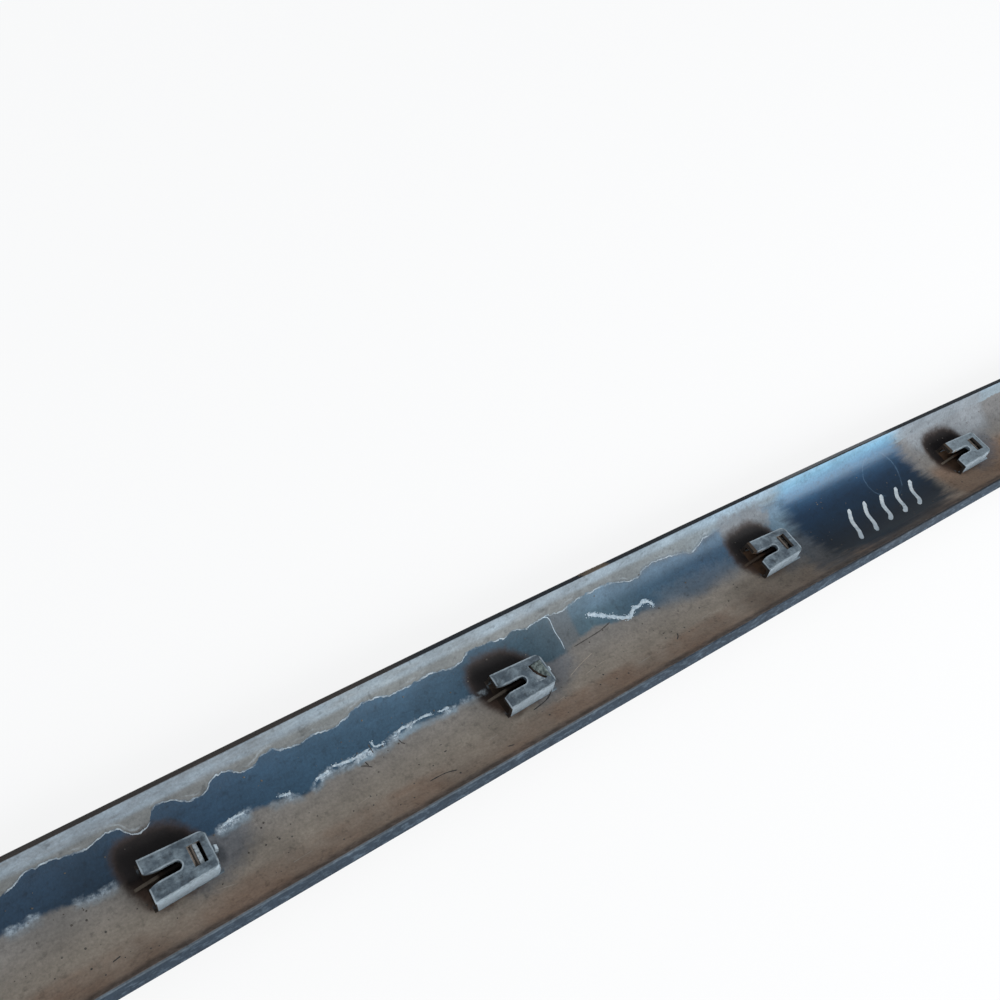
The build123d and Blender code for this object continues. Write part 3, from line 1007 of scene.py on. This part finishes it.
def draped_strokes(name, strokes, width, thickness, ragged, material):
    """Thin films through given (x, q) points, laid on the moulding."""
    values = {"Width": width * MM, "Thickness": thickness * MM, "Ragged": ragged, "Surface": shell}
    tree, start, end = nodes_tree(name + "_draped", values)
    step = {"Length": STROKE_STEP * MM}
    path = add(tree, "GeometryNodeResampleCurve", smooth_path(tree, start), named=step, mode="LENGTH")
    path = add(tree, "GeometryNodeSetCurveNormal", path, mode="Z_UP")
    profile = add(tree, "GeometryNodeCurvePrimitiveLine", (-1, 0, 0), (1, 0, 0))
    profile = add(tree, "GeometryNodeResampleCurve", profile, named={"Count": STROKE_COLUMNS})
    share = {"Name": "across", "Value": add(tree, "GeometryNodeSplineParameter")}
    profile = add(tree, "GeometryNodeStoreNamedAttribute", profile, named=share, data_type="FLOAT")
    band = add(tree, "GeometryNodeCurveToMesh", path, profile, named={"Scale": stroke_radius(tree, start)})
    across = add(tree, "GeometryNodeInputNamedAttribute", "across", data_type="FLOAT")
    middle = add(tree, "ShaderNodeMath", across, 0.5, operation="PINGPONG")
    lift = add(tree, "ShaderNodeMapRange", middle, 0.0, 0.14, -0.5, 1.0, interpolation_type="SMOOTHSTEP")
    lift = product(tree, lift, start.outputs["Thickness"])
    hit = dropped(tree, start)
    normal = hit.node.outputs["Hit Normal"]
    rise = add(tree, "ShaderNodeVectorMath", normal, named={"Scale": lift}, operation="SCALE")
    laid = add(tree, "ShaderNodeVectorMath", hit, rise, operation="ADD")
    band = add(tree, "GeometryNodeSetPosition", band, None, laid)
    close_tree(tree, end, add(tree, "GeometryNodeSetShadeSmooth", band), material)
    grown(name, stroke_lines(name, strokes), tree, values)


# %% [markdown]
# The whitest marks are salt: one trail that ran down the floor past the fourth tower, a hair-thin
# line where a puddle's corner dried, and the crest of the crust along the washed band's lower edge.

# %% Salt trails
WHITE_STREAK = [(46.5, 14.8), (50, 13.4), (55, 10.5), (59, 8.2), (62, 6.4), (65.5, 5.4), (67.5, 6.6), (70, 8),
                (73, 7.8), (76, 9), (78.5, 7.6), (80, 4.8)]
CORNER_LINE = [(24, 22.1), (26.6, 21.6), (27.8, 19.8), (27.6, 15), (28, 10), (27.4, 6)]
CRUST_LINES = [[(-136, 7.6), (-131, 8.3), (-127, 8)], [(-113, 7.2), (-108, 6.4)],
               [(-97, 6.4), (-94, 6.8), (-91, 7.2)], [(-89, 8), (-84, 7), (-79, 6.6), (-73, 7.2)],
               [(-70.5, 9.4), (-70, 7), (-66, 6.4)],
               [(-61, 7), (-57, 8.4), (-53, 8.2)], [(-51, 8.4), (-46, 8.6), (-42, 8)], [(-39, 7.4), (-34, 7)]]
draped_strokes("salt_streak", [WHITE_STREAK], 1.7, 0.14, 3.0, salt)
draped_strokes("salt_line", [CORNER_LINE], 0.4, 0.05, 1.8, salt)
draped_strokes("salt_crest", CRUST_LINES, 0.9, 0.16, 4.0, salt)

# %% [markdown]
# Fine dark scratches cut through the mud where grit was dragged over it, and a cloth has left a few
# paler wipe marks. On the wiped stretch someone drew five wavy dashes with a white paint pen.

# %% Scratches, wipe marks and pen
SCRATCHES = [[(32, 5), (40, 5.4), (48, 6), (55, 7.4)], [(-59, -17.4), (-52, -17.6), (-47, -19)],
             [(-79, 2.6), (-77, 1.6), (-75, 0)], [(-76.6, 3.4), (-76, 1.2)],
             [(-60, 5), (-59.4, 3.2), (-58.4, 2.2)], [(-72, 9), (-71.8, 5)],
             [(-3, -12), (5, -10.6), (9.5, -8.2)], [(76.5, -15.6), (78.4, -14.4), (79.4, -12.8)],
             [(-46.6, -5.5), (-45.4, -5.5)], [(-46.6, -9), (-45.2, -9)], [(73.4, -9.6), (74.8, -9.4)],
             [(-23.5, -21.2), (-21, -22)], [(-188, -18), (-185, -17.4)]]
WIPE_MARKS = [[(22, -6), (30, -3.4), (38, -1.4)], [(8, -14), (13, -13.3)], [(-148, -13.4), (-141, -15)],
              [(-88, -11), (-81, -10.2)], [(28, -9), (36, -7.8), (41, -7.6)], [(-30, -14.4), (-23, -13.8)],
              [(52, -17), (60, -16.4)], [(96, -12), (103, -11.6)], [(-120, -19), (-112, -18.6)]]
PEN_DASHES = (205, 217, 230, 242, 254)
draped_strokes("scratches", SCRATCHES, 0.55, 0.03, 1.6, scratched)
draped_strokes("wipe_marks", WIPE_MARKS, 0.3, 0.02, 1.8, scraped_mud)
dashes = [[(x, -18 + 2 * (x % 3)), (x + 4, -11), (x + 6.5, -4), (x + 11, 3.5 - (x % 4))] for x in PEN_DASHES]
draped_strokes("pen_hatching", dashes, 2.5, 0.05, 0.5, pen_paint)

# %% [markdown]
# Up close, salt and mud are crumbs. One crumb is strewn along given lines, most thickly close to them. Each
# copy drops onto the surface below it, and those with nothing below them are deleted.


# %% Crumbs strewn along a line
def crumb_size(tree, low, high, flatness):
    """A random size for each crumb, flatter than it is wide."""
    wide = add(tree, "FunctionNodeRandomValue", named={2: low, 3: high}, output=1)
    return add(tree, "ShaderNodeCombineXYZ", wide, wide, product(tree, wide, flatness))


def crumb_turn(tree, tilt):
    """A random turn, all the way round but tilted only a little."""
    named = {0: (0, 0, 0), 1: (tilt, tilt, math.tau)}
    return add(tree, "FunctionNodeRandomValue", named=named, data_type="FLOAT_VECTOR")


def strewn_grains(name, strokes, spacing, spread, material, seed):
    """Crumbs strewn along given (x, q) strokes, each resting on the surface below it."""
    values = {"Spacing": spacing * MM, "Spread": spread * MM, "Surface": shell, "Crumb": crumb_object,
              "Seed": seed}
    tree, start, end = nodes_tree(name + "_strewn", values)
    apart = {"Length": start.outputs["Spacing"]}
    spots = add(tree, "GeometryNodeCurveToPoints", smooth_path(tree, start), named=apart, mode="LENGTH")
    any_way = {0: (-1, -1, 0), 1: (1, 1, 0), "Seed": start.outputs["Seed"]}
    any_way = add(tree, "FunctionNodeRandomValue", named=any_way, data_type="FLOAT_VECTOR")
    near = add(tree, "FunctionNodeRandomValue", named={2: 0.0, 3: 1.0}, output=1)
    near = product(tree, near, near, start.outputs["Spread"])
    aside = add(tree, "ShaderNodeVectorMath", any_way, named={"Scale": near}, operation="SCALE")
    spots = add(tree, "GeometryNodeSetPosition", spots, named={"Offset": aside})
    hit = dropped(tree, start)
    missed = add(tree, "FunctionNodeBooleanMath", hit.node.outputs["Is Hit"], operation="NOT")
    spots = add(tree, "GeometryNodeDeleteGeometry", spots, missed)
    spots = add(tree, "GeometryNodeSetPosition", spots, None, hit)
    grain = add(tree, "GeometryNodeObjectInfo", start.outputs["Crumb"], output="Geometry")
    one = {"Instance": grain, "Rotation": crumb_turn(tree, 0.4), "Scale": crumb_size(tree, 0.16, 0.6, 0.4)}
    close_tree(tree, end, add(tree, "GeometryNodeInstanceOnPoints", spots, named=one), material)
    grown(name, stroke_lines(name, strokes), tree, values)


# %% Crumbs of salt and mud
CRUMB_RADIUS = 0.5
RIM_MUD = [[(50, 30.3), (54, 30.8), (59, 30.5), (65, 30.2)]]
crumb = bmesh.new()
bmesh.ops.create_icosphere(crumb, subdivisions=1, radius=CRUMB_RADIUS * MM)
crumb_mesh = mesh_data("crumb", crumb)
crumb_object = bpy.data.objects.new("crumb", crumb_mesh)
strewn_grains("crust_grains", CRUST_LINES, 0.09, 0.9, salt, 3)
strewn_grains("streak_grains", [WHITE_STREAK], 0.04, 1.7, salt, 5)
strewn_grains("rim_mud", RIM_MUD, 0.02, 1.6, caked_mud, 9)
bpy.data.objects.remove(crumb_object)

# %% [markdown]
# Loose grains of mud lie all over the hollow, but none on the rims or the upright walls. Points are
# scattered over the faces that are low and face up, with a fixed seed, and each gets a crumb of its
# own length and width.

# %% Grains of dried mud
GRAINS = 500
GRAINS_BELOW = 8.0
GRAINS_WIDTH = 45.0
GRAINS_FLATNESS = 0.45
GRAINS_SLOPE = 0.6
values = {"Surface": shell, "Grains": GRAINS / (LENGTH * GRAINS_WIDTH * MM * MM), "Seed": 7}
tree, start, end = nodes_tree("grains_on_floor", values)
ground = add(tree, "GeometryNodeObjectInfo", start.outputs["Surface"], output="Geometry")
height = add(tree, "ShaderNodeSeparateXYZ", add(tree, "GeometryNodeInputPosition"), output=2)
low_enough = add(tree, "FunctionNodeCompare", height, GRAINS_BELOW * MM, operation="LESS_THAN")
facing = add(tree, "ShaderNodeSeparateXYZ", add(tree, "GeometryNodeInputNormal"), output=2)
upward = add(tree, "FunctionNodeCompare", facing, GRAINS_SLOPE, operation="GREATER_THAN")
usable = add(tree, "FunctionNodeBooleanMath", low_enough, upward, operation="AND")
scatter = {"Selection": usable, "Density": start.outputs["Grains"], "Seed": start.outputs["Seed"]}
spots = add(tree, "GeometryNodeDistributePointsOnFaces", ground, named=scatter)
long = add(tree, "FunctionNodeRandomValue", named={2: 0.25, 3: 1.0}, output=1)
wide = add(tree, "FunctionNodeRandomValue", named={2: 0.35, 3: 1.1}, output=1)
shape = add(tree, "ShaderNodeCombineXYZ", long, wide, product(tree, long, GRAINS_FLATNESS))
one = {"Instance": start.outputs["Geometry"], "Rotation": crumb_turn(tree, 0.3), "Scale": shape}
close_tree(tree, end, add(tree, "GeometryNodeInstanceOnPoints", spots, named=one), loose_mud)
grown("mud_grains", crumb_mesh, tree, values)

# %% [markdown]
# The catch windows have aged differently. The third tower's hook is wider than the rest, the fourth
# tower's plate is cracked, and the next two windows are packed with mud. A small helper places points
# on a tower, and the wide hook is a plain bar with softened edges.

# %% Wide hook in the third tower
HOOK = [(5.5, -4.0), (7.3, -4.0), (7.3, 4.7), (5.5, 4.7)]
HOOK_LOW = 8.3
HOOK_HIGH = 9.3
HOOK_BEVEL = 0.2


def on_tower(tower_x, u, v, z):
    """A point given from a tower's slot, in the strip's millimetres."""
    return Vector((tower_x + u, v + centre_y(tower_x), z))


hook = prism(*[[on_tower(TOWERS[2], u, v, z) for u, v in HOOK] for z in (HOOK_LOW, HOOK_HIGH)])
bmesh.ops.bevel(hook, geom=hook.edges[:], offset=HOOK_BEVEL * MM, segments=2, affect="EDGES")
finished("wide_hook", hook, rubbed)

# %% [markdown]
# The fourth tower's plate has torn along a curve. Its lip bulges up on one side, the tongue is bent up on the
# other, and between them a dark brown sheet stands in for the crack's painted shade. All three are thin
# sheets over the window that meet at the curve, bent by noise and given a thickness.

# %% Torn plate of the fourth tower
TORN_STEPS = 16
TORN_THICK = 0.7
TORN_BUMPS = 0.3
WINDOW_LOW, WINDOW_HIGH = -4.0, 4.6
PLATE_END = 3.1
SKIN_END = 10.4
CRACK_START = 3.8
CRACK_SWEEP = 4.2
CRACK_BEND = 1.8
CRACK_WIDTH = 1.5
LIP_GAP = 0.5


def crack_at(v):
    """Where the crack runs, from the slot's closed end."""
    return CRACK_START + CRACK_SWEEP * ((WINDOW_HIGH - v) / (WINDOW_HIGH - WINDOW_LOW)) ** CRACK_BEND


def sheet(rows):
    """A bmesh sheet through rows of points in millimetres."""
    mesh = bmesh.new()
    points = [[mesh.verts.new(place * MM) for place in row] for row in rows]
    for row, after in zip(points, points[1:]):
        for j in range(len(row) - 1):
            mesh.faces.new([row[j], row[j + 1], after[j + 1], after[j]])
    mesh.normal_update()
    return mesh


def thickened(name, mesh, thickness, material):
    """Makes a smooth piece from a sheet."""
    mesh.normal_update()
    bmesh.ops.solidify(mesh, geom=mesh.faces[:], thickness=thickness * MM)
    for face in mesh.faces:
        face.smooth = True
    finished(name, mesh, material)


def torn_sheet(name, ends_at, height_at, material):
    """An uneven sheet over the window, between two ends for each v."""
    rows = []
    for i in range(TORN_STEPS + 1):
        v = WINDOW_LOW + (WINDOW_HIGH - WINDOW_LOW) * i / TORN_STEPS
        low_u, high_u = ends_at(v)
        row = []
        for j in range(TORN_STEPS + 1):
            share = j / TORN_STEPS
            u = low_u + (high_u - low_u) * share
            bump = TORN_BUMPS * noise.noise((u * 0.9, v * 0.9, 0.5)) * math.sin(share * math.pi) ** 0.5
            row.append(on_tower(TOWERS[3], u, v, height_at(share) + bump))
        rows.append(row)
    thickened(name, sheet(rows), TORN_THICK, material)


def lip_ends(v):
    """The lip reaches from the sound plate nearly to the crack."""
    return PLATE_END, max(crack_at(v) - LIP_GAP, PLATE_END + 0.1)


def crack_ends(v):
    """The mud reaches a little under the tongue."""
    return crack_at(v) - 0.3, crack_at(v) + CRACK_WIDTH


def tongue_ends(v):
    """The tongue reaches from the crack to the plate's far end."""
    return crack_at(v) + CRACK_WIDTH - 0.1, SKIN_END


torn_sheet("plate_lip", lip_ends, lambda share: 9.98 + 0.35 * share * share, scuffed)
torn_sheet("crack_edge", crack_ends, lambda share: 8.1 + 1.4 * share, crack_shade)
torn_sheet("torn_tongue", tongue_ends, lambda share: 9.6 + 0.6 * min(1, 2 * share), torn)

# %% [markdown]
# In the fifth and sixth towers mud has filled the window nearly to the plate. It sank a little as it
# dried, most at the near side, so each plug is a sloping sheet whose surface is roughened by noise.

# %% Mud in two windows
PLUG_SLOPE = [(4.6, 8.4), (6.2, 7.7), (8.9, 7.3)]
PLUG_ACROSS = (-4.1, -2.6, -0.8, 1.2, 3.0, 5.0)
PLUG_SUNK = 1.6
SUNK_BELOW = -2.0
PLUG_BUMPS = 0.5
PLUG_THICK = 0.6

for tower_x in TOWERS[4:6]:
    rows = []
    for v in PLUG_ACROSS:
        sunk = PLUG_SUNK if v < SUNK_BELOW else 0.0
        rows.append([on_tower(tower_x, u, v, z - sunk) for u, z in PLUG_SLOPE])
    plug = sheet(rows)
    bmesh.ops.subdivide_edges(plug, edges=plug.edges[:], cuts=3, smooth=1.0, use_grid_fill=True)
    for point in plug.verts:
        point.co.z += PLUG_BUMPS * MM * noise.noise(point.co / MM)
    thickened("mud_plug", plug, PLUG_THICK, loose_mud)

# %% [markdown]
# The photograph has a plain white ground with hardly any shadow. The floor is matte white paper. What
# the camera sees of it is mostly an even glow, so it stays white and still keeps the strip's faint
# shadow. It reaches so far that its edge lies on the horizon from every side.

# %% Floor
FLOOR_SIZE = 60.0
PAPER_GLOW = 0.85
corners = [(-FLOOR_SIZE, -FLOOR_SIZE, 0), (FLOOR_SIZE, -FLOOR_SIZE, 0), (FLOOR_SIZE, FLOOR_SIZE, 0),
           (-FLOOR_SIZE, FLOOR_SIZE, 0)]
floor_mesh = bpy.data.meshes.new("floor")
floor_mesh.from_pydata(corners, [], [(0, 1, 2, 3)])
floor = placed("floor", floor_mesh)
floor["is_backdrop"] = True
paper, tree = new_material("white_paper")
matte = add(tree, "ShaderNodeBsdfDiffuse", linear("#f0f0f0"))
glow = add(tree, "ShaderNodeEmission", (1, 1, 1, 1), 1.0)
share = product(tree, add(tree, "ShaderNodeLightPath"), PAPER_GLOW)
add(tree, "ShaderNodeOutputMaterial", add(tree, "ShaderNodeMixShader", share, matte, glow))
floor_mesh.materials.append(paper)
print("floor", 2 * FLOOR_SIZE, "m square")

# %% [markdown]
# The light is that of a product shot: a pale sky, and one soft lamp like a window at the right front.
# The sky is brighter and bluer near the horizon, and that band is what the coves and rims reflect.

# %% Light
HORIZON = (1.1, 1.35, 1.6, 1.0)
OVERHEAD = (0.44, 0.47, 0.5, 1.0)
LAMP_PLACE = Vector((0.9, -1.2, 0.7))
LAMP_TARGET = Vector((0.1, 0, 0))
LAMP_SIZE = (1.2, 0.8)
LAMP_WATTS = 32
LAMP_COLOUR = (0.97, 0.98, 1.0)
world = bpy.data.worlds.new("studio")
bpy.context.scene.world = world
world.use_nodes = True
tree = world.node_tree
backdrop = tree.nodes["Background"]
direction = add(tree, "ShaderNodeSeparateXYZ", add(tree, "ShaderNodeTexCoord"), output=2)
height = add(tree, "ShaderNodeMapRange", direction, 0.05, 0.4, interpolation_type="SMOOTHSTEP")
sky = add(tree, "ShaderNodeMix", named={0: height, 6: HORIZON, 7: OVERHEAD}, output=2, data_type="RGBA")
tree.links.new(sky, backdrop.inputs["Color"])
backdrop.inputs["Strength"].default_value = 1.0

light = bpy.data.lights.new("window", "AREA")
light.shape = "RECTANGLE"
light.size, light.size_y = LAMP_SIZE
light.energy = LAMP_WATTS
light.color = LAMP_COLOUR
lamp = placed("window", light)
lamp.location = LAMP_PLACE
lamp.rotation_euler = (LAMP_TARGET - LAMP_PLACE).to_track_quat("-Z", "Y").to_euler()
bpy.context.scene.view_settings.view_transform = "Standard"
print("lamp", LAMP_WATTS, "watts,", round((LAMP_TARGET - LAMP_PLACE).length, 2), "m away")

# %% [markdown]
# Last, the size of the finished model's box is printed.

# %% Finish
low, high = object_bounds()
print("finished", [round((b - a) / MM, 1) for a, b in zip(low, high)], "mm")
